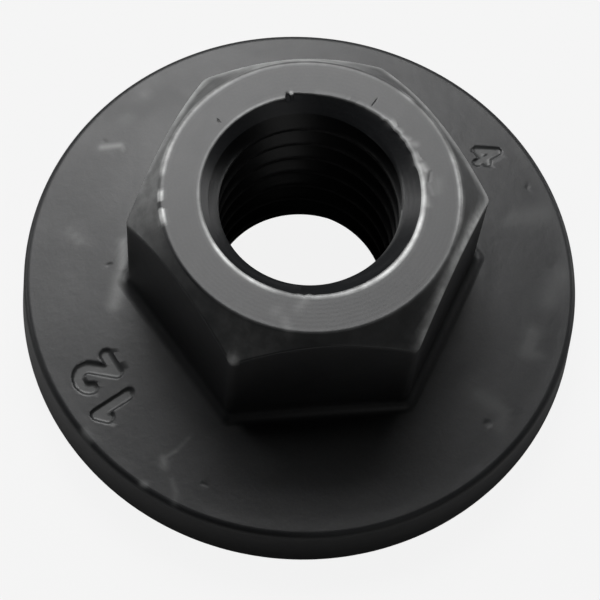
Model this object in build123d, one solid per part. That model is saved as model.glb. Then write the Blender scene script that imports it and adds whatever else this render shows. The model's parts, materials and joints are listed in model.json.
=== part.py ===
from build123d import *

import os
from math import cos, pi, radians, sin, sqrt, tan

# Hexagon nut with a wide serrated flange, forged in one piece and tapped right through.
# Millimetres. The thread's axis is Z and the crests of the serrations lie on z = 0.
# The bore is at the thread's minor diameter; the thread itself isn't cut here.

# Thread
thread_diameter = 12.0
thread_pitch = 1.75
iso_minor_factor = 1.0825  # the minor diameter is this many pitches under the nominal one

# Hexagon
across_flats = 17.7  # as forged, for a wrench of nominal 18
corner_radius = 0.5  # forging radius down the six corners
nut_height = 14.4
crown_width = 0.55  # from the round edge of the top face out to the middle of a flat
crown_slope = 50.0  # of the turned chamfer, in degrees below the top face

# Bore mouths: a countersink at each end, wider than the thread by a small allowance
mouth_allowance = 0.2
top_mouth_angle = 100.0  # included
bearing_mouth_angle = 120.0  # included

# Flange
flange_diameter = 33.0  # at the foot of the rim, where it is widest
rim_height = 3.8
rim_draft = 3.0  # degrees by which the rim narrows upwards
rim_top_radius = 0.35
rim_foot_radius = 0.6
flange_slope = 7.0  # degrees by which the flange rises towards the hexagon
root_radius = 0.8  # between the flange and the hexagon

# Serrations: ratchet teeth on the bearing face, shallow ramps that lock against loosening
tooth_count = 48
tooth_depth = 0.45  # at the rim; it falls to nothing at the axis, so every flank is flat
tooth_land = 0.25  # width of the flat crest, also at the rim
locking_slope = 75.0  # of the steep flank, in degrees from the bearing plane
relief_width = 1.3  # of the recess between the bore's mouth and the teeth, which they run out into
relief_depth = 0.25

# A cutter runs this far past the face that it cuts
overrun = 1.0

flange_radius = flange_diameter / 2
bore_radius = (thread_diameter - iso_minor_factor * thread_pitch) / 2
mouth_radius = (thread_diameter + mouth_allowance) / 2
relief_radius = mouth_radius + relief_width


def revolved(points):
    """Solid of revolution about Z of a closed outline given as (radius, height) points."""
    outline = Plane.XZ * make_face(Polyline(*points, close=True))
    return revolve(outline, axis=Axis.Z)


def flange_blank():
    """Plain disc with a drafted rim and a top that rises as a flat cone."""
    draft = radians(rim_draft)
    # the sharp corner lies this far out, so that the rounded foot is as wide as the flange
    corner = flange_radius + rim_foot_radius * (tan(draft) + 1 / cos(draft) - 1)
    rim_top_reach = corner - rim_height * tan(draft)
    peak = rim_height + rim_top_reach * tan(radians(flange_slope))
    rim_foot = (corner, 0)
    rim_top = (rim_top_reach, rim_height)
    outline = make_face(Polyline((0, 0), rim_foot, rim_top, (0, peak), close=True))
    foot_corner = outline.vertices().sort_by_distance((*rim_foot, 0))[0]
    outline = fillet(foot_corner, rim_foot_radius)
    top_corner = outline.vertices().sort_by_distance((*rim_top, 0))[0]
    outline = fillet(top_corner, rim_top_radius)
    return revolve(Plane.XZ * outline, axis=Axis.Z)


def hexagon_blank():
    """Hexagon bar with rounded corners, corners on +X and -X, and its top turned to a crown."""
    hexagon = RegularPolygon(across_flats / 2, 6, major_radius=False)
    hexagon = fillet(hexagon.vertices(), corner_radius)
    bar = extrude(hexagon, nut_height)
    top_radius = across_flats / 2 - crown_width
    clear_radius = across_flats / sqrt(3) + overrun
    crown_foot = nut_height - (clear_radius - top_radius) * tan(radians(crown_slope))
    crown = [
        (0, 0),
        (clear_radius, 0),
        (clear_radius, crown_foot),
        (top_radius, nut_height),
        (0, nut_height),
    ]
    return bar & revolved(crown)


def bore():
    """Hole at the minor diameter with a countersunk mouth at each end and the bearing face's relief."""
    top_depth = (mouth_radius - bore_radius) / tan(radians(top_mouth_angle / 2))
    bearing_depth = (mouth_radius - bore_radius) / tan(radians(bearing_mouth_angle / 2))
    outline = [
        (0, -overrun),
        (relief_radius, -overrun),
        (relief_radius, relief_depth),
        (mouth_radius, relief_depth),
        (bore_radius, relief_depth + bearing_depth),
        (bore_radius, nut_height - top_depth),
        (mouth_radius, nut_height),
        (mouth_radius, nut_height + overrun),
        (0, nut_height + overrun),
    ]
    return revolved(outline)


def tooth_gap():
    """Space between two crests: a wedge with its apex on the axis, so its flanks are flat and radial.

    Counter-clockwise from above, the crest's steep flank comes first and the ramp to the next crest after it.
    """
    pitch_angle = 2 * pi / tooth_count
    land_angle = tooth_land / flange_radius
    flank_angle = tooth_depth / tan(radians(locking_slope)) / flange_radius
    steep_foot = land_angle / 2
    ramp_foot = pitch_angle - land_angle / 2
    section = [
        (steep_foot, 0),
        (steep_foot + flank_angle, tooth_depth),
        (ramp_foot, 0),
        (ramp_foot, -overrun),
        (steep_foot, -overrun),
    ]
    inner_radius = relief_radius - overrun
    outer_radius = flange_radius + overrun
    corners = []
    for radius in (inner_radius, outer_radius):
        reach = radius / flange_radius
        corners += [(radius * cos(angle), radius * sin(angle), height * reach) for angle, height in section]
    return ConvexPolyhedron(corners)


def flange_nut():
    """The whole nut: hexagon and flange blended together, then bored and serrated."""
    flange = flange_blank()
    hexagon = hexagon_blank()
    blank = flange + hexagon
    root = new_edges(flange, hexagon, combined=blank)
    blank = fillet(root, root_radius)
    gap = tooth_gap()
    gaps = [place * gap for place in PolarLocations(0, tooth_count)]
    return blank - bore() - gaps


os.makedirs("parts", exist_ok=True)
export_step(flange_nut(), "parts/flange_nut.step")
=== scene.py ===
import json
from math import atan2, cos, pi, radians, sin, sqrt, tan

import bmesh
import bpy
import numpy as np
from mathutils import Matrix, Vector


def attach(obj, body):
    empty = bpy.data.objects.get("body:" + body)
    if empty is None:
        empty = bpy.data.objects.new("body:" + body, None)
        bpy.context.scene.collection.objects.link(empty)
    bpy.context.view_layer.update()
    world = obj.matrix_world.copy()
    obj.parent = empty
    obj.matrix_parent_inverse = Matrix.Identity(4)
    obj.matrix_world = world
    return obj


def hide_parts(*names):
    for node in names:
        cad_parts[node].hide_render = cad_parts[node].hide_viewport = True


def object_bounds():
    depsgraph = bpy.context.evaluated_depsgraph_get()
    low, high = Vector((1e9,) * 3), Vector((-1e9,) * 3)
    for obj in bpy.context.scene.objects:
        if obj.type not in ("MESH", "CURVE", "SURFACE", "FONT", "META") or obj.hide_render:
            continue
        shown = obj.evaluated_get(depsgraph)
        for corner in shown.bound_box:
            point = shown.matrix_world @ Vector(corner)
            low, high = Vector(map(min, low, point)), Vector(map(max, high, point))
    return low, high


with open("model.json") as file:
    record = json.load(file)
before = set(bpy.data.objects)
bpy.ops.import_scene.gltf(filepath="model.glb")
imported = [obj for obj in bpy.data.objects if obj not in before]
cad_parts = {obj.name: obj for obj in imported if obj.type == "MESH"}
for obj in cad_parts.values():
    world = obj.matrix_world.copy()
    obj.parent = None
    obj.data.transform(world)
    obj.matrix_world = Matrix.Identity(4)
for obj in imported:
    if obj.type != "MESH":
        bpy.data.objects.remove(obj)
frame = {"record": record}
cad_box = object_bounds()

# Black phosphated flange nut: one forged and tapped piece, drawn as one closed surface.
# Sizes are millimetres and angles degrees unless a name or comment says otherwise; meshes are metres.
MM = 0.001

# Read from the frame
mounts = {mount["name"]: mount for mount in frame["record"]["mounts"]}
flange_radius = cad_box[1].x / MM
nut_height = cad_box[1].z / MM
minor_radius = mounts["thread"]["dims"]["r_mm"]

# Thread, in the proportions of the ISO metric profile
thread_pitch = 1.75
thread_depth = 5 / 8 * sqrt(3) / 2 * thread_pitch
crest_half_width = 1 / 8  # in pitches, from the middle of the crest
root_half_width = 1 / 16  # in pitches, from the middle of the groove
crest_bevel = 0.045  # in pitches, to each side of the crest's sharp corners
root_rounding = 0.04  # the groove's bottom is this much deeper in its middle
run_out_angle = 5.0  # where the top crest fades into the countersink

# Hexagon
across_flats = 17.7
corner_radius = 0.5
crown_width = 0.55  # from the round edge of the top face out to the middle of a flat
crown_slope = 50.0
crown_edge_radius = 0.22
crown_edge_spread = 0.05  # the radius is this much more on its roundest side and less opposite
crown_edge_roundest = 135.0
shoulder_edge_radius = 0.2  # between the crown's chamfer and a side

# Bore mouths
mouth_radius = 6.1
top_mouth_angle = 100.0
bearing_mouth_angle = 120.0
mouth_edge_radius = 0.24
mouth_edge_spread = 0.13  # as for the crown's edge
mouth_edge_roundest = -45.0

# Flange
rim_height = 3.8
rim_draft = 3.0
rim_top_radius = 0.42
rim_foot_radius = 0.6
flange_slope = 7.0
root_radius = 0.8
forging_sink = 0.03  # how far the forged top sinks below the true cone in its low places
sink_inner_fade = (10.6, 11.6)  # radii between which the sinking comes in outside the root
sink_outer_fade = (15.2, 16.1)  # and goes out again before the rim
wave_peak = 3.2  # what the forging's waves add up to at the most, before they are scaled

# Serrations
tooth_count = 48
tooth_depth = 0.45
tooth_land = 0.25
locking_slope = 75.0
relief_radius = 7.4
relief_depth = 0.25

# Mesh: columns go round the axis and rows go round the section
columns_per_tooth = 8
columns_per_land = 2
columns_per_flank = 2
columns = tooth_count * columns_per_tooth
columns_per_side = columns // 6
columns_per_half_corner = 5
edge_steps = 4
hollow_steps = 6
brim_steps = 5
top_rows = 10
chamfer_rows = 6
side_rows = 6
flange_rows = 22
rim_rows = 4
foot_rows = 6
tooth_rows = 6
relief_rows = 3
foot_rounds = 8  # each brings the end of the rounded foot closer to where a gap breaks out
merge_distance = 0.0004
sliver_length = 0.00004  # shorter edges are dissolved
sharp_angle = 35.0
top_face_depth = 0.4  # how far below the top face a point still takes its marks
flange_top_depth = 0.2  # and how far below the rim's height on the flange
mark_margin = 0.12  # the mesh is cut finer this far round a mark
mark_cuts = 3

# Digits stamped into the flange, tops outwards: character, height, angle, radius of the foot, lean left
digits = [
    ("1", 2.1, 213.6, 12.75, -4.0),
    ("2", 2.1, 203.6, 12.55, 3.0),
    ("4", 1.55, 30.6, 13.0, 0.0),
]
full_digit_height = 2.1  # of a digit with the sizes below; a smaller one has them in proportion
digit_half_width = 0.40
digit_half_floor = 0.23  # half the width of the groove's flat floor
digit_depth = 0.16
digit_floor_highlight = 0.14  # painted highlight: how much paler the pressed floor is drawn, for the light it catches

# Scratches and dents on the tops, in plan: from x, y to x, y, half width, depth
scratches = [
    (3.97, 5.24, 4.30, 5.62, 0.05, 0.024),
    (6.72, 0.86, 6.58, 0.30, 0.13, 0.012),
    (-4.69, 4.94, -4.63, 4.77, 0.07, 0.030),
    (-11.06, 9.60, -10.92, 9.52, 0.14, 0.022),
    (-11.29, 1.16, -11.14, 1.20, 0.16, 0.030),
    (9.72, -10.26, 9.80, -10.30, 0.30, 0.025),
    (-6.90, -12.60, -6.60, -12.75, 0.12, 0.020),
    (1.40, 12.90, 1.55, 12.80, 0.14, 0.020),
    (14.10, 4.60, 14.20, 4.75, 0.15, 0.022),
]
# How far the mouth is cut out of true, and how far its edge alone is chipped back: angle, distance
mouth_push = [(-20, 0), (10, 0.05), (30, 0.12), (60, 0.12), (85, 0.10), (100, 0.04), (112, 0)]
mouth_chips = [
    (-8, 0), (4, 0.02), (9, 0.03), (13, -0.03), (17, 0), (20, 0.045), (24, 0), (27, 0.05), (30, 0),
    (33, 0.05), (36, -0.01), (39, 0.07), (42, 0.10), (44, 0.02), (47, 0.06), (52, 0.04), (59, 0.01),
    (66, 0), (81, 0.01), (88, 0.08), (93, 0.17), (93.6, 0.05), (95.0, 0.06), (95.5, 0.21), (97.2, 0.25),
    (97.8, -0.05), (104, -0.02), (112, 0), (250, 0), (256, 0.03), (258, 0), (261, 0.04), (263, -0.03),
    (266, 0.03), (269, 0),
]
push_fade = (0.05, 1.0)  # distances from the mouth's edge between which the push fades out
chip_fade = (0.06, 0.32)  # and the chips
least_chip = 0.004  # a shallower one needs no finer mesh
chip_reach = 0.4  # how far from the edge a chip has a finer mesh
# Tones rubbed into the tops, with painted highlights among the lighter ones, such as round the hexagon's
# root at a corner, in plan: from x, y to x, y, half width, and lighter to 1 or darker to -1
tones_and_highlights = [
    (-11.15, 9.16, -10.05, 9.15, 0.20, 0.55),
    (-8.40, 12.64, -8.30, 12.66, 0.34, 0.22),
    (-9.60, 11.00, -9.40, 11.05, 0.40, 0.12),
    (-13.37, 3.68, -12.83, 2.87, 0.26, 0.18),
    (-8.90, -11.46, -8.94, -10.95, 0.24, 0.26),
    (-8.94, -10.95, -8.20, -10.60, 0.12, 0.22),
    (-8.20, -10.60, -7.40, -9.90, 0.12, 0.12),
    (-10.22, -12.30, -10.08, -12.36, 0.20, 0.35),
    (-13.26, -8.99, -13.10, -9.20, 0.24, 0.24),
    (-8.55, -12.30, -8.35, -12.90, 0.18, 0.14),
    (-8.35, -12.90, -8.55, -13.70, 0.20, 0.10),
    (12.90, 2.57, 14.70, 2.80, 0.70, 0.12),
    (13.15, -4.83, 12.65, -6.10, 0.45, 0.14),
    (12.65, -6.10, 13.25, -6.30, 0.35, 0.12),
    (9.50, -8.60, 10.85, -9.60, 0.55, 0.10),
    (10.85, -9.60, 10.40, -10.60, 0.45, 0.10),
    (15.30, -1.20, 14.45, -2.80, 0.70, 0.10),
    (-2.62, -6.85, -2.50, -6.80, 0.30, 0.16),
    (-2.15, -7.40, -2.00, -8.10, 0.28, 0.18),
    (-1.37, -6.76, -0.95, -6.35, 0.26, 0.18),
    (3.70, 5.12, 4.38, 4.62, 0.12, 0.34),
    (4.50, 4.50, 4.80, 4.25, 0.15, 0.42),
    (4.92, 4.12, 5.14, 3.90, 0.17, 0.80),
    (5.22, 3.70, 5.42, 3.46, 0.12, 0.45),
    (5.48, 3.14, 5.78, 2.95, 0.15, 0.50),
    (5.82, 2.72, 6.12, 2.62, 0.18, 0.40),
    (6.08, 2.00, 6.24, 1.72, 0.18, 0.50),
    (6.30, 1.28, 6.44, 1.00, 0.20, 0.90),
    (6.40, 0.85, 6.32, 0.30, 0.12, 0.45),
    (6.28, -0.65, 6.30, -1.15, 0.16, 0.45),
    (6.60, 0.00, 6.70, -0.50, 0.14, 0.20),
    (6.95, -0.30, 7.05, 0.20, 0.35, 0.14),
    (-0.49, 6.38, -0.46, 6.38, 0.09, 1.0),
    (2.86, 5.56, 3.17, 5.83, 0.14, -0.80),
    (5.42, 4.27, 5.27, 3.90, 0.14, -0.70),
    (6.33, 2.25, 6.40, 1.80, 0.14, -0.60),
    (-3.99, 6.14, -3.94, 6.01, 0.12, -0.60),
    (-6.20, -4.15, -5.65, -3.92, 0.30, -0.45),
    (-4.95, -5.30, -4.70, -5.22, 0.26, -0.35),
    (-0.30, -7.07, 0.33, -7.01, 0.14, -0.50),
    (0.72, -6.92, 1.58, -6.93, 0.14, -0.45),
    (1.60, -6.95, 1.66, -7.30, 0.12, -0.45),
    (-10.30, 2.60, -10.45, 0.90, 0.26, 0.42),
    (-10.62, 0.35, -11.10, -1.40, 0.40, 0.36),
    (1.00, 6.30, 2.40, 5.90, 0.16, 0.10),
    (2.70, 5.75, 3.70, 5.18, 0.16, 0.16),
    (14.56, 0.08, 14.60, 0.00, 0.50, -0.35),
    (11.75, -9.57, 11.70, -9.50, 0.60, -0.30),
    (12.25, 3.32, 12.35, 3.20, 0.45, -0.30),
    (-13.00, -0.20, -12.60, -0.50, 0.60, -0.30),
]
fine_tone = 0.21  # the mesh is cut finer under tones narrower than this

# How pale each rounded edge and the thread's crest are drawn, from 0 to 1: rubbing, plus painted highlight
# on the sides that face the lamps: angle, share
mouth_rub_and_highlight = [
    (-90, 0.5), (-60, 0.8), (-30, 1), (0, 0.75), (20, 0.28), (45, 0.22), (60, 0.08), (97, 0.06), (100, 0.42),
    (120, 0.42), (150, 0.25), (185, 0.4), (205, 1), (235, 0.9), (250, 0.35),
]
crown_rub_and_highlight = [
    (-90, 0.07), (-50, 0.11), (-25, 0.22), (-5, 0.72), (10, 0.72), (20, 0.22), (30, 0.37), (38, 0.15),
    (42, 0.45), (50, 0.14), (65, 0.17), (85, 0.23), (100, 0.24), (110, 0.3), (125, 0.47), (150, 0.47),
    (160, 0.75), (166, 0.7), (169, 0.2), (174, 0.15), (175, 1), (178.5, 1), (179.3, 0), (181.5, 0),
    (182.3, 1), (187.5, 0.95), (189.5, 0.05), (215, 0), (240, 0.08),
]
shoulder_rub_and_highlight = [
    (-90, 0), (-62, 0.1), (-56, 0.9), (-10, 1), (5, 0.65), (55, 0.65), (75, 0.75), (100, 0.8), (125, 1),
    (160, 0.6), (180, 0.15), (190, 0), (237.5, 0), (240, 1), (242.5, 0),
]
chamfer_rub_and_highlight = [
    (-60, 0.06), (-20, 0.07), (10, 0.06), (45, 0.07), (62, 0.14), (76, 0.6), (104, 0.6), (118, 0.18),
    (142, 0.16), (155, 0.31), (166, 0.37), (176, 0.3), (184, 0.19), (192, 0.12), (202, 0.07), (228, 0.07),
    (238, 0.15), (250, 0.15), (262, 0.07),
]
thread_rub_and_highlight = [(-60, 0), (-20, 0.2), (40, 0.2), (70, 0.02), (130, 0.05), (150, 0.3), (175, 0.2), (200, 0)]
corner_rub = 0.03  # share on the hexagon's upright corners
corner_rub_reach = 1.6  # in half corners, from a corner's middle to where its rubbing ends
thread_fade = 0.15  # how deep below its crest the thread is rubbed and painted lighter
rub_fade = 0.1  # how far rubbing and painted highlight reach past a rounded edge
shoulder_fade = 0.5  # how far it reaches up the chamfer from the hexagon's shoulder

# How finely a tool has cut a surface, where a forged one has 0
faced = 1
fine_turned = 1.8  # the chamfer and the thread


def rows_between(first, last, count):
    """Straight blend from one row of columns to another, with both ends left out."""
    return np.linspace(first, last, count + 2)[1:-1]


def eased_rows(first, last, count):
    """Like rows_between, but with the shares crowded towards both ends: (1 - cos(pi * share)) / 2."""
    share = rows_between(0 * first, 0 * first + 1, count)
    return first + (last - first) * (1 - np.cos(pi * share)) / 2


def unit(vectors):
    """Vectors of length 1: each one divided by its length."""
    return vectors / np.linalg.norm(vectors, axis=0)


def fillet_rows(before, corner, after, radius, steps):
    """Arc that rounds a corner of the section in every column at once.

    The arc's centre lies on the corner's bisector at radius / sin(half the corner's angle). Start and end
    lead from there to where it touches the two sides, and its points turn evenly from one to the other:
    centre + (start * sin((1 - share) * turn) + end * sin(share * turn)) / sin(turn).
    """
    into = unit(before - corner)
    out = unit(after - corner)
    half_angle = np.arccos(np.clip((into * out).sum(axis=0), -1, 1)) / 2
    centre = corner + unit(into + out) * radius / np.sin(half_angle)
    start = corner + into * radius / np.tan(half_angle) - centre
    end = corner + out * radius / np.tan(half_angle) - centre
    turn = pi - 2 * half_angle
    share = np.linspace(0, 1, steps + 1)[:, None, None]
    return centre + (start * np.sin((1 - share) * turn) + end * np.sin(share * turn)) / np.sin(turn)


# Column angles in radians, from 0 to a whole turn: each part of the section uses the set that lines up with
# its own edges
even_angles = np.linspace(0, 2 * pi, columns + 1)
flat_half = (across_flats / 2 - corner_radius) * tan(radians(30))
corner_half = radians(30) - atan2(flat_half, across_flats / 2)


def hexagon_angles():
    """Angles with columns on both ends of every rounded corner: few across it, the rest along the flat."""
    stops = [0, corner_half, radians(60) - corner_half, radians(60)]
    counts = [0, columns_per_half_corner, columns_per_side - columns_per_half_corner, columns_per_side]
    side = np.interp(np.arange(columns_per_side), counts, stops)
    turns = radians(60) * np.arange(6)[:, None]
    return np.append((turns + side).ravel(), 2 * pi)


def off_corner(angle):
    """Angle from the nearest corner of the hexagon."""
    return (angle + radians(30)) % radians(60) - radians(30)


def hexagon_radius(angle):
    """Distance from the axis to the hexagon: apothem / cos(angle off the flat), or the corner's arc."""
    off = off_corner(angle)
    flat = across_flats / 2 / np.cos(radians(30) - np.abs(off))
    centre = (across_flats / 2 - corner_radius) / cos(radians(30))
    across = centre * np.sin(off)
    arc = centre * np.cos(off) + np.sqrt(np.maximum(corner_radius**2 - across**2, 0))
    return np.where(np.abs(off) < corner_half, arc, flat)


tooth_pitch_angle = 2 * pi / tooth_count
land_angle = tooth_land / flange_radius
flank_angle = tooth_depth / tan(radians(locking_slope)) / flange_radius


def tooth_angles():
    """Angles with columns on the edges of every tooth: land, steep flank, then the long ramp."""
    land_end = land_angle / 2
    stops = [-land_end, land_end, land_end + flank_angle, tooth_pitch_angle - land_end]
    counts = [0, columns_per_land, columns_per_land + columns_per_flank, columns_per_tooth]
    tooth = np.interp(np.arange(columns_per_tooth), counts, stops)
    turns = tooth_pitch_angle * np.arange(tooth_count)[:, None]
    return np.append((turns + tooth).ravel(), 2 * pi - land_end)


def tooth_height(angle):
    """Height of the gap's roof at the rim: nothing on a land, then up the steep flank and down the ramp."""
    along = (angle + land_angle / 2) % tooth_pitch_angle
    stops = [0, land_angle, land_angle + flank_angle, tooth_pitch_angle]
    return np.interp(along, stops, [0, 0, tooth_depth, 0])


# The thread's profile: distance from the middle of a crest, in pitches, and radius
flank_rise = thread_depth / (0.5 - root_half_width - crest_half_width)  # per pitch
major_radius = minor_radius + thread_depth
thread_stops = [
    0,
    crest_half_width - crest_bevel,
    crest_half_width + crest_bevel,
    0.5 - root_half_width,
    0.5 - root_half_width / 2,
    0.5,
]
thread_radii = [
    minor_radius,
    minor_radius,
    minor_radius + crest_bevel * flank_rise,
    major_radius,
    major_radius + root_rounding * 0.75,  # on a parabola, half way to its middle
    major_radius + root_rounding,
]
top_mouth_rise = tan(radians(top_mouth_angle / 2))
bearing_mouth_rise = tan(radians(bearing_mouth_angle / 2))
top_cone_end = nut_height - (mouth_radius - minor_radius) / top_mouth_rise
bearing_cone_end = relief_depth + (mouth_radius - minor_radius) / bearing_mouth_rise
# height of a crest over angle 0, chosen so that a crest's lower edge meets the countersink at the run-out
crest_start = top_cone_end + (crest_half_width - run_out_angle / 360) * thread_pitch
turns_above = 2  # crest lines above the one that starts at that height, cut off by the top mouth
parallel_guard = 1e-6  # keeps a quotient finite where a flank is parallel to a countersink


def thread_radius(angle, height):
    """Radius of the tapped wall: the thread's profile at the distance to the nearest crest.

    A point is (height - crest_start) / pitch - angle / (a whole turn) pitches above a crest line, and the
    distance is how far that is off a whole number.
    """
    turns = (height - crest_start) / thread_pitch - angle / (2 * pi)
    off_crest = np.abs(turns - np.round(turns))
    return np.interp(off_crest, thread_stops, thread_radii)


def top_cone_radius(height):
    """Radius of the upper countersink: it shrinks from the mouth's by its rise for each millimetre down."""
    return mouth_radius - (nut_height - height) * top_mouth_rise


def bearing_cone_radius(height):
    """Radius of the lower countersink: it shrinks from the mouth's by its rise for each millimetre up."""
    return mouth_radius - (height - relief_depth) * bearing_mouth_rise


def thread_rows():
    """Tapped wall from the lower countersink to the upper one, on lines that climb with the thread.

    Each line keeps its place on the thread's profile and rises one pitch in a turn. Lines past a countersink
    lie on its edge, and further lines follow the curves where the cones cut the flanks. Sorting the heights
    in each column keeps the lines in order, and the last column meets the first one pitch on. The radius at
    a point is the largest of the thread's and the two cones'.
    """
    groove_radius = thread_radii[-1]
    lowest = relief_depth + (mouth_radius - groove_radius) / bearing_mouth_rise
    highest = nut_height - (mouth_radius - groove_radius) / top_mouth_rise
    ridge_numbers = np.arange(-crest_start // thread_pitch - 1, turns_above + 1)[:, None]
    ridges = crest_start + thread_pitch * (ridge_numbers + even_angles / (2 * pi))
    levels = [ridges + side * stop * thread_pitch for side in (-1, 1) for stop in thread_stops]
    flank_start, flank_end = thread_stops[2], thread_stops[3]
    flank_base = thread_radii[2] - flank_start * flank_rise
    for side in (-1, 1):
        top_slope = flank_rise - side * thread_pitch * top_mouth_rise
        bearing_slope = flank_rise + side * thread_pitch * bearing_mouth_rise + parallel_guard
        top_cut = (top_cone_radius(ridges) - flank_base) / top_slope
        bearing_cut = (bearing_cone_radius(ridges) - flank_base) / bearing_slope
        for cut in (top_cut, bearing_cut):
            levels.append(ridges + side * thread_pitch * np.clip(cut, flank_start, flank_end))
    ends = [top_cone_end, bearing_cone_end, lowest, highest]
    levels += [np.full((1, columns + 1), level) for level in ends]
    height = np.sort(np.clip(np.concatenate(levels), lowest, highest), axis=0)
    cones = np.maximum(top_cone_radius(height), bearing_cone_radius(height))
    return even_angles + 0 * height, np.maximum(thread_radius(even_angles, height), cones), height


def foot_rows_between_teeth(gap):
    """The rim's rounded foot: centre + radius * sin(swing) out and radius * (1 - cos(swing)) up.

    It swings from the drafted side to where the gap between two teeth breaks out through it. A gap's height
    grows with the distance from the axis, so a few rounds settle both.
    """
    centre = flange_radius - rim_foot_radius
    last = 0 * gap
    for _ in range(foot_rounds):
        reach = (centre + rim_foot_radius * np.sin(last)) / flange_radius
        last = np.arccos(1 - gap * reach / rim_foot_radius)
    first = radians(90 + rim_draft) + 0 * gap
    swing = np.concatenate([[first], rows_between(first, last, foot_rows), [last]])
    out = centre + rim_foot_radius * np.sin(swing)
    up = rim_foot_radius * (1 - np.cos(swing))
    return np.stack([out, up], axis=1)


def by_angle(angle, table):
    """A table's value at each angle, blended round the circle between the table's own angles."""
    places, values = np.array(table).T
    return np.interp(np.degrees(angle), places, values, period=360)


def rub_and_highlight_beside(rows, edge, rub, fade):
    """Rubbing and painted highlight that reach past an edge: its share * exp(-(distance from the edge /
    fade) squared).
    """
    return rub * np.exp(-((np.linalg.norm(rows - edge, axis=1) / fade) ** 2))


def ring(radius, height):
    """A corner of the section in every column, from its radius and height: one number or one a column."""
    return np.array([np.broadcast_to(value, columns + 1) for value in (radius, height)])


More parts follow.
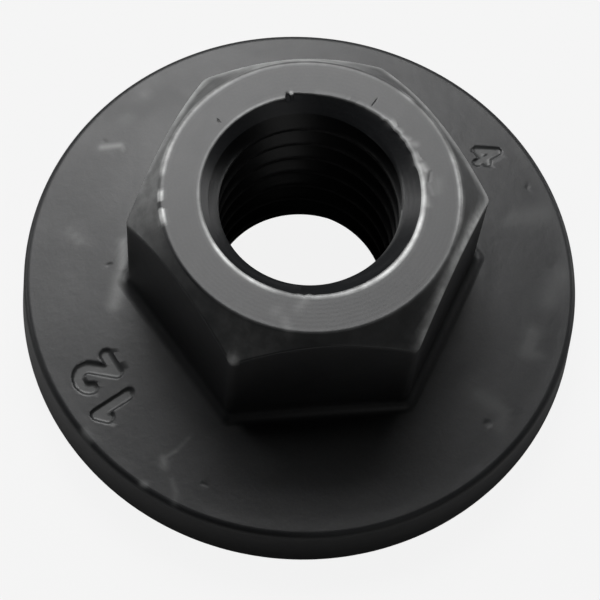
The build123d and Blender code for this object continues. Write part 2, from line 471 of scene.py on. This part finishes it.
def nut_surface():
    """Angle, radius, height, edge and turned of every point of the nut's skin, rows by columns.

    The section runs from the bore's top mouth outwards over the hexagon, down to the flange, round the rim,
    inwards under the teeth and up the thread, and closes on its first row. Straight and eased rows join the
    rounded edges. Edge is how pale a rounded edge, the chamfer or the thread's crest is drawn: partly
    rubbing, partly painted highlight on the sides that face the lamps. Turned is how finely a tool has cut
    there, with 0 for what is forged.
    """
    hexagon = hexagon_angles()
    teeth = tooth_angles()
    side = hexagon_radius(hexagon)
    gap = tooth_height(teeth)
    lower = nut_height - 1  # any second height on the upper countersink's line

    mouth_edge = ring(mouth_radius, nut_height)
    cone_foot = ring(top_cone_radius(lower), lower)
    crown_edge = ring(across_flats / 2 - crown_width, nut_height)
    crown_foot = ring(side, nut_height - (side - crown_edge[0]) * tan(radians(crown_slope)))
    # radius of the rim's side carried down to the ground, a little inside the widest of the rounded foot
    draft = tan(radians(rim_draft))
    side_foot = flange_radius + rim_foot_radius * (1 / cos(radians(rim_draft)) - 1 - draft)
    rim_foot = ring(side_foot, 0)
    rim_top = ring(side_foot - rim_height * draft, rim_height)
    root = ring(side, rim_height + (rim_top[0] - side) * tan(radians(flange_slope)))
    tooth_heel = ring(relief_radius, gap * relief_radius / flange_radius)
    relief_outer = ring(relief_radius, relief_depth)
    relief_inner = ring(mouth_radius, relief_depth)

    mouth_radii = mouth_edge_radius + mouth_edge_spread * np.cos(even_angles - radians(mouth_edge_roundest))
    crown_radii = crown_edge_radius + crown_edge_spread * np.cos(hexagon - radians(crown_edge_roundest))
    mouth = fillet_rows(cone_foot, mouth_edge, crown_edge, mouth_radii, edge_steps)
    crown = fillet_rows(mouth_edge, crown_edge, crown_foot, crown_radii, edge_steps)
    shoulder = fillet_rows(crown_edge, crown_foot, root, shoulder_edge_radius, edge_steps)
    hollow = fillet_rows(crown_foot, root, rim_top, root_radius, hollow_steps)
    brim = fillet_rows(root, rim_top, rim_foot, rim_top_radius, brim_steps)
    foot = foot_rows_between_teeth(gap)
    top = eased_rows(mouth[-1], crown[0], top_rows)
    chamfer = eased_rows(crown[-1], shoulder[0], chamfer_rows)

    # paleness of the edges: rubbing, plus painted highlight where they face the lamps
    mouth_wear_and_highlight = by_angle(even_angles, mouth_rub_and_highlight)
    crown_wear_and_highlight = by_angle(hexagon, crown_rub_and_highlight)
    shoulder_wear_and_highlight = by_angle(hexagon, shoulder_rub_and_highlight)
    corner_worn = corner_rub * np.clip(corner_rub_reach - np.abs(off_corner(hexagon)) / corner_half, 0, 1)
    outside_mouth = rub_and_highlight_beside(top, mouth[-1], mouth_wear_and_highlight, rub_fade)
    inside_crown = rub_and_highlight_beside(top, crown[0], crown_wear_and_highlight, rub_fade)
    below_crown = rub_and_highlight_beside(chamfer, crown[-1], crown_wear_and_highlight, rub_fade)
    above_shoulder = rub_and_highlight_beside(chamfer, shoulder[0], shoulder_wear_and_highlight, shoulder_fade)
    chamfer_wear_and_highlight = np.maximum(by_angle(hexagon, chamfer_rub_and_highlight), np.maximum(below_crown, above_shoulder))
    # column angles or the two sets that they blend between, rows, edge, turned
    parts = [
        (even_angles, mouth, mouth_wear_and_highlight, faced),
        ((even_angles, hexagon), top, outside_mouth + inside_crown, faced),
        (hexagon, crown, crown_wear_and_highlight, faced),
        (hexagon, chamfer, chamfer_wear_and_highlight, fine_turned),
        (hexagon, shoulder, shoulder_wear_and_highlight, faced),
        (hexagon, eased_rows(shoulder[-1], hollow[0], side_rows), corner_worn, 0),
        (hexagon, hollow, 0, 0),
        ((hexagon, teeth), eased_rows(hollow[-1], brim[0], flange_rows), 0, 0),
        (teeth, brim, 0, 0),
        (teeth, eased_rows(brim[-1], foot[0], rim_rows), 0, 0),
        (teeth, foot, 0, 0),
        (teeth, rows_between(foot[-1], tooth_heel, tooth_rows), 0, 0),
        (teeth, np.array([tooth_heel, relief_outer]), 0, faced),
        ((teeth, even_angles), rows_between(relief_outer, relief_inner, relief_rows), 0, faced),
        (even_angles, np.array([relief_inner]), 0, faced),
    ]
    blocks = []
    for angles, rows, edge, turned in parts:
        if isinstance(angles, tuple):
            angles = rows_between(*angles, len(rows))
        blocks.append(np.broadcast_arrays(angles, rows[:, 0], rows[:, 1], edge, turned))
    angle, radius, height = thread_rows()
    crest_wear_and_highlight = by_angle(angle, thread_rub_and_highlight) * np.clip(1 - (radius - minor_radius) / thread_fade, 0, 1)
    blocks.append(np.broadcast_arrays(angle, radius, height, crest_wear_and_highlight, fine_turned))
    return [np.concatenate(values) for values in zip(*blocks)]


def torus_faces(rows, across):
    """Quads of a grid whose last row joins its first: row, next row, next row and column, next column."""
    grid = np.arange(rows * across).reshape(rows, across)
    below = np.roll(grid, -1, axis=0)
    return np.stack([grid[:, :-1], below[:, :-1], below[:, 1:], grid[:, 1:]], axis=-1).reshape(-1, 4)


def arc_points(middle, radius, first, last, count):
    """Points of a circle from one angle to another: middle + radius * (cos, sin)."""
    turn = np.radians(np.linspace(first, last, count))
    return np.stack([middle[0] + radius * np.cos(turn), middle[1] + radius * np.sin(turn)], axis=1)


# Digits as one stroke each, in heights of the digit: across, then up from the foot
digit_strokes = {
    "1": np.array([(-0.16, 0.8), (0.06, 1.0), (0.06, 0.0)]),
    "2": np.concatenate([arc_points((0, 0.72), 0.28, 165, -35, 12), [(-0.29, 0.0), (0.31, 0.0)]]),
    "4": np.array([(0.14, 0.0), (0.14, 1.0), (-0.32, 0.32), (0.34, 0.32)]),
}


def stroke_distance(points, stroke):
    """Distance in plan from each point to a stroke: the nearest place on each of its straight pieces is
    start + share * piece, with the share held between 0 and 1.
    """
    start = stroke[:-1, 0] + 1j * stroke[:-1, 1]
    piece = stroke[1:, 0] + 1j * stroke[1:, 1] - start
    offset = (points[:, 0] + 1j * points[:, 1])[:, None] - start
    share = np.clip((offset * piece.conj()).real / np.abs(piece) ** 2, 0, 1)
    return np.abs(offset - share * piece).min(axis=1)


def ring_stroke(stroke, angle, radius, lean):
    """A digit's stroke set on a ring with its top outwards: going across turns it clockwise, and going up
    adds to the radius.
    """
    leaned = (stroke[:, 0] + 1j * stroke[:, 1]) * np.exp(1j * radians(lean))
    place = (radius + leaned.imag) * np.exp(1j * (radians(angle) - leaned.real / radius))
    return np.stack([place.real, place.imag], axis=1)


def smooth_step(low, high, value):
    """Eased climb from 0 to 1 as the value goes from low to high: share * share * (3 - 2 * share)."""
    share = np.clip((value - low) / (high - low), 0, 1)
    return share * share * (3 - 2 * share)


def digit_marks():
    """Each digit's stroke in plan, its half width, half its floor's width and its depth."""
    marks = []
    for character, height, angle, radius, lean in digits:
        stroke = ring_stroke(digit_strokes[character] * height, angle, radius, lean)
        share = height / full_digit_height
        marks.append((stroke, digit_half_width * share, digit_half_floor * share, digit_depth * share))
    return marks


def scratch_marks():
    """The same for each scratch and dent, which have no floor."""
    return [(np.reshape(ends, (2, 2)), half_width, 0, depth) for *ends, half_width, depth in scratches]


def on_top(points):
    """True on the top face and its edges, and on the flange's top outside the root."""
    reach = np.hypot(points[:, 0], points[:, 1])
    top_face = points[:, 2] > nut_height - top_face_depth
    flange_top = (reach > across_flats / sqrt(3)) & (points[:, 2] > rim_height - flange_top_depth)
    return top_face | flange_top


def about_mouth(points):
    """Angle of each point round the axis, and its distance from the edge of the mouth."""
    reach = np.hypot(points[:, 0], points[:, 1])
    off_edge = np.hypot(reach - mouth_radius, points[:, 2] - nut_height)
    return np.arctan2(points[:, 1], points[:, 0]), off_edge


def chip_depth(points):
    """How far each point is pushed outwards round the mouth: by the cut out of true, which fades within a
    millimetre of the edge, and by the chips, which fade within a third of one.
    """
    angle, off_edge = about_mouth(points)
    push = by_angle(angle, mouth_push) * (1 - smooth_step(*push_fade, off_edge))
    return push + by_angle(angle, mouth_chips) * (1 - smooth_step(*chip_fade, off_edge))


def near_marks(points):
    """True where an upward-facing point lies by a pressed stroke, a fine tone or a chip."""
    near = np.zeros(len(points), bool)
    for stroke, half_width, _, _ in digit_marks() + scratch_marks():
        near |= stroke_distance(points, stroke) < half_width + mark_margin
    for *ends, half_width, _ in tones_and_highlights:
        if half_width < fine_tone:
            near |= stroke_distance(points, np.reshape(ends, (2, 2))) < half_width + mark_margin
    angle, off_edge = about_mouth(points)
    chipped = (np.abs(by_angle(angle, mouth_chips)) > least_chip) & (off_edge < chip_reach)
    return (near | chipped) & (on_top(points) | chipped)


def forging_waves(x, y):
    """Slow waves over the plan, in radians per millimetre: one along x and one along y, each bent by a sine
    of the other, one that goes three times round the axis, and one aslant.
    """
    waves = np.sin(0.9 * x + 0.5 * np.sin(0.7 * y)) + np.sin(0.8 * y + 1.3 + 0.6 * np.sin(0.6 * x))
    waves += 0.7 * np.sin(3 * np.arctan2(y, x) + 0.4) + 0.5 * np.sin(1.7 * x - 1.3 * y)
    return waves


def worn(points):
    """Points with the digits, scratches, chips and the forging's unevenness, all within the true form.

    A stroke's depth falls from its floor to nothing at its half width by a smooth step. The flange's top
    sinks by the forging's waves, fading out at the root and the rim. Chips push the mouth's edge straight
    outwards.
    """
    moved = points.copy()
    reach = np.hypot(points[:, 0], points[:, 1])
    moved[:, :2] *= (1 + chip_depth(points) / reach)[:, None]
    top = on_top(points)
    x, y, z = moved[top].T
    reach = np.hypot(x, y)
    sink = 0 * x
    for stroke, half_width, half_floor, depth in digit_marks() + scratch_marks():
        distance = stroke_distance(moved[top], stroke)
        sink = np.maximum(sink, depth * (1 - smooth_step(half_floor, half_width, distance)))
    low_places = (forging_waves(x, y) + wave_peak) / (2 * wave_peak)
    fade = smooth_step(*sink_inner_fade, reach) * (1 - smooth_step(*sink_outer_fade, reach))
    sink += forging_sink * low_places * fade * (z < nut_height / 2)
    moved[top, 2] -= sink
    return moved


def rubbed_tone_and_highlight(points):
    """How much lighter or darker each top point is drawn, by rubbing and by painted highlight: by the
    strongest of the bell curves off the strokes, strength * exp(-(distance / half width) squared), and by
    the painted highlight on the digits' pressed floors.
    """
    tone = np.zeros(len(points))
    for *ends, half_width, strength in tones_and_highlights:
        distance = stroke_distance(points, np.reshape(ends, (2, 2)))
        bell = strength * np.exp(-((distance / half_width) ** 2))
        tone = np.where(np.abs(bell) > np.abs(tone), bell, tone)
    for stroke, half_width, half_floor, _ in digit_marks():
        distance = stroke_distance(points, stroke)
        tone = np.maximum(tone, digit_floor_highlight * (1 - smooth_step(half_floor, half_width, distance)))
    return tone * on_top(points)


def read_places(items, field):
    """Places of a mesh's vertices or faces in millimetres, one row each."""
    places = np.empty(3 * len(items))
    items.foreach_get(field, places)
    return places.reshape(-1, 3) / MM


def add_layer(mesh, name, values):
    """One number for each vertex, which the material reads by its name."""
    layer = mesh.attributes.new(name, "FLOAT", "POINT")
    layer.data.foreach_set("value", values.astype(np.float32))


def close_seams(mesh):
    """Merges the first and last columns and all rows that meet, and drops what has no area left."""
    shape = bmesh.new()
    shape.from_mesh(mesh)
    bmesh.ops.remove_doubles(shape, verts=shape.verts, dist=merge_distance * MM)
    bmesh.ops.dissolve_degenerate(shape, dist=sliver_length * MM, edges=shape.edges)
    shape.to_mesh(mesh)
    shape.free()


def split_faces(mesh, picked, cuts):
    """Cuts the picked faces into a finer grid, and their neighbours' shared edges with them."""
    shape = bmesh.new()
    shape.from_mesh(mesh)
    shape.faces.ensure_lookup_table()
    edges = {edge for index in np.flatnonzero(picked) for edge in shape.faces[index].edges}
    bmesh.ops.subdivide_edges(shape, edges=list(edges), cuts=cuts, use_grid_fill=True)
    shape.to_mesh(mesh)
    shape.free()


def add_object(name, data):
    """Puts a mesh, lamp or camera into the scene as an object."""
    added = bpy.data.objects.new(name, data)
    bpy.context.scene.collection.objects.link(added)
    return added


def make_nut():
    """The nut's skin as one closed mesh, finer where something is pressed into it.

    A point's place is (radius * cos(angle), radius * sin(angle), height).
    """
    angle, radius, height, edge, turned = nut_surface()
    points = np.stack([radius * np.cos(angle), radius * np.sin(angle), height], axis=-1).reshape(-1, 3)
    mesh = bpy.data.meshes.new("nut")
    mesh.from_pydata((points * MM).tolist(), [], torus_faces(*angle.shape).tolist())
    # edge: rubbed paleness with painted highlight, on the edges, the chamfer and the thread's crests
    add_layer(mesh, "edge", edge.ravel())
    add_layer(mesh, "turned", turned.ravel())
    close_seams(mesh)
    split_faces(mesh, near_marks(read_places(mesh.polygons, "center")), mark_cuts)
    places = worn(read_places(mesh.vertices, "co"))
    # tone: rubbed tones, with painted highlights among the lighter ones and on the digits' floors
    add_layer(mesh, "tone", rubbed_tone_and_highlight(places))
    mesh.vertices.foreach_set("co", (places * MM).ravel())
    mesh.shade_smooth()
    mesh.set_sharp_from_angle(angle=radians(sharp_angle))
    mesh.update()
    return add_object("nut", mesh)


def linear(hex_colour):
    """Linear colour of an sRGB hex value, by the sRGB curve."""
    shares = [int(hex_colour[i : i + 2], 16) / 255 for i in (1, 3, 5)]
    return tuple(s / 12.92 if s <= 0.04045 else ((s + 0.055) / 1.055) ** 2.4 for s in shares) + (1.0,)


def add_node(tree, kind, inputs={}, **options):
    """Adds a node, sets its options, and gives each named or numbered input a value or a link.

    Another node given as an input links by its first output in use.
    """
    added = tree.nodes.new(kind)
    for name, value in options.items():
        setattr(added, name, value)
    for name, value in inputs.items():
        if isinstance(value, bpy.types.Node):
            value = next(output for output in value.outputs if output.enabled)
        if isinstance(value, bpy.types.NodeSocket):
            tree.links.new(value, added.inputs[name])
        else:
            added.inputs[name].default_value = value
    return added


def empty_material(name):
    """A material with no nodes yet."""
    material = bpy.data.materials.new(name)
    material.use_nodes = True
    material.node_tree.nodes.clear()
    return material


# A mix node's inputs share their names, so they are found by number
share_input, first_value, second_value, first_colour, second_colour = 0, 2, 3, 6, 7

# Noise patterns: size, detail, roughness, distortion. Crystals and rings are too fine to show at their real
# size, so they are drawn coarser.
crystal_pattern = (0.14, 3.0, 0.6, 0.0)  # real phosphate crystals are a tenth of this
scale_pattern = (0.8, 4.0, 0.55, 0.3)  # dimples that furnace scale leaves in a forged face
cloud_pattern = (4.5, 3.0, 0.5, 0.6)  # uneven oil and coating
wear_pattern = (0.9, 4.0, 0.6, 0.0)  # patches along a rubbed edge
ring_spacing = 0.25  # the facing tool's real feed is half of this

# Heights of the finest relief, drawn as bump
crystal_height = 0.0022
dimple_height = 0.014
ring_height = 0.0006

# Colours of the coat, of what shows through it, and of painted highlights on edges and tops
oily_black = "#111214"
dry_black = "#17181a"
crystal_glint_grey = "#202122"
# rubbed tops, and painted highlights among the lighter tones and on the digits' floors
rubbed_and_highlit_grey = "#8b8c8b"
# bare steel on rubbed edges, and painted highlight where the edges face the lamps
bare_and_highlight_grey = "#c0c1c0"

# Roughness, each from the coat's oily places to its dry ones
forged_roughness = (0.415, 0.455)
turned_roughness = (0.375, 0.39)
dimple_roughness = 0.04  # added where the dimples' noise is high
dark_roughness = 0.14  # added where a face is rubbed darker
pale_edge_metallic = 0.2  # how metallic a pale edge is, rubbed and painted highlight alike
least_edge_paleness = 0.55  # share of an edge's paleness, rubbing and painted highlight alike, where the coat stays thickest
glint_share = 0.5  # painted glints: share of the crystals' grey where they catch the light best


def phosphated_steel():
    """Forged and turned steel with a black manganese phosphate coat, oiled.

    The coat is a matt mineral skin of fine crystals, so it is no metal to the eye: nearly black from above,
    with a broad grey sheen towards the light. Forged faces are faintly dimpled, turned faces carry the
    tool's rings, and on rubbed edges the coat is thin and pale, so the steel greys through in patches. The
    pale edges and the lighter tones also carry painted highlight where they face the lamps, and the
    crystals' grey is painted glints.
    """
    material = empty_material("black_phosphated_steel")
    tree = material.node_tree
    place = add_node(tree, "ShaderNodeTexCoord").outputs["Object"]
    edge, turned, tone = (
        add_node(tree, "ShaderNodeAttribute", attribute_name=name).outputs["Fac"]
        for name in ("edge", "turned", "tone")
    )

    noises = []
    for size, detail, rough, bent in (crystal_pattern, scale_pattern, cloud_pattern, wear_pattern):
        pattern = {
            "Vector": place,
            "Scale": 1 / (size * MM),
            "Detail": detail,
            "Roughness": rough,
            "Distortion": bent,
        }
        noises.append(add_node(tree, "ShaderNodeTexNoise", pattern))
    crystals, dimples, clouds, patches = noises
    # the ring pattern repeats every 2 pi / (20 * its scale)
    pattern = {
        "Vector": place,
        "Scale": 2 * pi / (20 * ring_spacing * MM),
        "Distortion": 0.8,
        "Detail": 2.0,
        "Detail Scale": 0.4,
    }
    rings = add_node(tree, "ShaderNodeTexWave", pattern, wave_type="RINGS", rings_direction="Z")

    # what each noise stands for: as it goes from low to high, the share eases from least to most
    shares = []
    for noise, low, high, least, most in (
        (patches, 0.3, 0.7, least_edge_paleness, 1.0),
        (clouds, 0.3, 0.7, 0.0, 1.0),
        (crystals, 0.35, 0.7, 0.0, glint_share),
    ):
        step = {"Value": noise, "From Min": low, "From Max": high, "To Min": least, "To Max": most}
        shares.append(add_node(tree, "ShaderNodeMapRange", step, interpolation_type="SMOOTHSTEP"))
    thin, dry, glints = shares
    # pale edges: rubbed steel and painted highlight, in patches
    bare_and_highlight = add_node(tree, "ShaderNodeMath", {0: edge, 1: thin}, operation="MULTIPLY", use_clamp=True)
    # lighter tones: rubbing and painted highlight
    lighter = add_node(tree, "ShaderNodeMath", {0: tone, 1: 0.0}, operation="MAXIMUM")
    darker = add_node(tree, "ShaderNodeMath", {0: tone, 1: 0.0}, operation="MINIMUM")

    colour = linear(oily_black)
    for share, grey in ((dry, dry_black), (glints, crystal_glint_grey), (lighter, rubbed_and_highlit_grey), (bare_and_highlight, bare_and_highlight_grey)):
        inputs = {share_input: share, first_colour: colour, second_colour: linear(grey)}
        colour = add_node(tree, "ShaderNodeMix", inputs, data_type="RGBA")
    metallic = add_node(tree, "ShaderNodeMath", {0: bare_and_highlight, 1: pale_edge_metallic}, operation="MULTIPLY")

    forged_matt, turned_matt = (
        add_node(tree, "ShaderNodeMapRange", {"Value": dry, "To Min": oily_end, "To Max": dry_end})
        for oily_end, dry_end in (forged_roughness, turned_roughness)
    )
    inputs = {share_input: turned, first_value: forged_matt, second_value: turned_matt}
    matt = add_node(tree, "ShaderNodeMix", inputs, clamp_factor=False)
    for height, more in ((dimples, dimple_roughness), (darker, -dark_roughness)):
        matt = add_node(tree, "ShaderNodeMath", {0: height, 1: more, 2: matt}, operation="MULTIPLY_ADD")

    forged = add_node(tree, "ShaderNodeMath", {0: 1.0, 1: turned}, operation="SUBTRACT")
    forged_dimples = add_node(tree, "ShaderNodeMath", {0: dimples, 1: forged}, operation="MULTIPLY")
    turned_rings = add_node(tree, "ShaderNodeMath", {0: rings, 1: turned}, operation="MULTIPLY")
    bump = add_node(tree, "ShaderNodeBump", {"Height": crystals, "Distance": crystal_height * MM})
    for relief, height in ((forged_dimples, dimple_height), (turned_rings, ring_height)):
        bump = add_node(tree, "ShaderNodeBump", {"Height": relief, "Distance": height * MM, "Normal": bump})
    inputs = {"Base Color": colour, "Metallic": metallic, "Roughness": matt, "IOR": 1.5, "Normal": bump}
    surface = add_node(tree, "ShaderNodeBsdfPrincipled", inputs)
    add_node(tree, "ShaderNodeOutputMaterial", {"Surface": surface})
    return material


# Floor, in metres
board_half_width = 3.0
board_colour = "#969696"
seen_white = 0.88  # share of plain white in what the camera sees
mirrored_white = 0.05  # and in what a reflection sees in the open
shade_reach = 0.03  # how far off something still darkens a reflection of the board
shade_samples = 8


def white_board():
    """Matt pale painted board for the floor.

    Light falls on it as on any paint. What the camera sees of it is mostly a plain white, with a little of
    the nut's shadow left in it. A reflection sees the paint and a trace of that white, which fades out by
    the nut.
    """
    material = empty_material("matt_white_board")
    tree = material.node_tree
    rays = add_node(tree, "ShaderNodeLightPath").outputs
    shade = add_node(tree, "ShaderNodeAmbientOcclusion", {"Distance": shade_reach}, samples=shade_samples)
    inputs = {0: rays["Is Glossy Ray"], 1: rays["Is Transmission Ray"]}
    reflected = add_node(tree, "ShaderNodeMath", inputs, operation="MAXIMUM")
    for share in (shade.outputs["AO"], mirrored_white):
        reflected = add_node(tree, "ShaderNodeMath", {0: reflected, 1: share}, operation="MULTIPLY")
    seen = add_node(tree, "ShaderNodeMath", {0: rays["Is Camera Ray"], 1: seen_white}, operation="MULTIPLY")
    white = add_node(tree, "ShaderNodeMath", {0: seen, 1: reflected}, operation="MAXIMUM")
    paint = add_node(tree, "ShaderNodeBsdfDiffuse", {"Color": linear(board_colour)})
    plain = add_node(tree, "ShaderNodeEmission", {"Color": (1, 1, 1, 1), "Strength": 1.0})
    surface = add_node(tree, "ShaderNodeMixShader", {0: white, 1: paint, 2: plain})
    add_node(tree, "ShaderNodeOutputMaterial", {"Surface": surface})
    return material


def make_board():
    """Flat square board under the nut."""
    side = board_half_width
    corners = [(-side, -side, 0), (side, -side, 0), (side, side, 0), (-side, side, 0)]
    mesh = bpy.data.meshes.new("floor")
    mesh.from_pydata(corners, [], [(0, 1, 2, 3)])
    floor = add_object("floor", mesh)
    floor.data.materials.append(white_board())


# Soft boxes: name, azimuth clockwise from behind as seen from above, elevation, width, height, brightness.
# Lengths are metres, and brightness is watts per square metre and steradian.
lamps = [
    ("back soft box", 1, 52, 0.24, 0.3, 9.2),
    ("back left box", -26, 50, 0.34, 0.3, 3.4),
    ("back right box", 22, 52, 0.2, 0.3, 2.6),
    ("upper box", 10, 74, 0.18, 0.2, 1.2),
    ("left strip", -60, 11, 0.28, 0.12, 4.6),
    ("right strip", 64, 10, 0.32, 0.12, 3.9),
    ("front box", 155, 35, 0.3, 0.3, 0.42),
]
lamp_distance = 0.6
world_brightness = 0.01


def add_lamp(name, azimuth, elevation, wide, high, brightness):
    """Rectangular soft box on a sphere about the nut, facing it, with a power of brightness * area * pi."""
    turn, rise = radians(azimuth), radians(elevation)
    away = Vector((sin(turn) * cos(rise), cos(turn) * cos(rise), sin(rise)))
    data = bpy.data.lights.new(name, "AREA")
    data.shape = "RECTANGLE"
    data.size, data.size_y = wide, high
    data.energy = brightness * wide * high * pi
    lamp = add_object(name, data)
    lamp.location = away * lamp_distance
    lamp.rotation_euler = away.to_track_quat("Z", "Y").to_euler()


def add_world():
    """Faint even light from everywhere."""
    world = bpy.data.worlds.new("world")
    world.use_nodes = True
    background = world.node_tree.nodes["Background"].inputs
    background["Color"].default_value = (1, 1, 1, 1)
    background["Strength"].default_value = world_brightness
    bpy.context.scene.world = world


# Camera: far off and steep, with a long lens
camera_distance = 141.6
camera_elevation = 65.8
camera_azimuth = -11.93
camera_roll = 6.97
camera_aim = (-0.116, -0.033)  # the axis's foot lies this far from the view's centre, right and up
frame_pixels = 600
focal_pixels = 2344  # focal length, where the frame is frame_pixels wide
sensor_width = 36.0
nearest_seen = 0.005  # metres
farthest_seen = 20  # metres


def add_camera():
    """Camera that looks at the axis's foot from a distance, azimuth and elevation, rolled about its own line
    of sight.
    """
    turn, rise, roll = radians(camera_azimuth), radians(camera_elevation), radians(camera_roll)
    back = Vector((sin(turn) * cos(rise), -cos(turn) * cos(rise), sin(rise)))
    level = Vector((cos(turn), sin(turn), 0))
    upright = back.cross(level)
    right = level * cos(roll) + upright * sin(roll)
    above = upright * cos(roll) - level * sin(roll)
    place = (back * camera_distance - right * camera_aim[0] - above * camera_aim[1]) * MM
    data = bpy.data.cameras.new("camera")
    data.lens = focal_pixels / frame_pixels * sensor_width
    data.sensor_width = sensor_width
    data.clip_start = nearest_seen
    data.clip_end = farthest_seen
    camera = add_object("camera", data)
    camera.matrix_world = Matrix.Translation(place) @ Matrix((right, above, back)).transposed().to_4x4()
    bpy.context.scene.camera = camera


add_camera()
nut = make_nut()
nut.data.materials.append(phosphated_steel())
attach(nut, "root")
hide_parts("flange_nut")
make_board()
for lamp in lamps:
    add_lamp(*lamp)
add_world()
bpy.context.scene.view_settings.view_transform = "Standard"
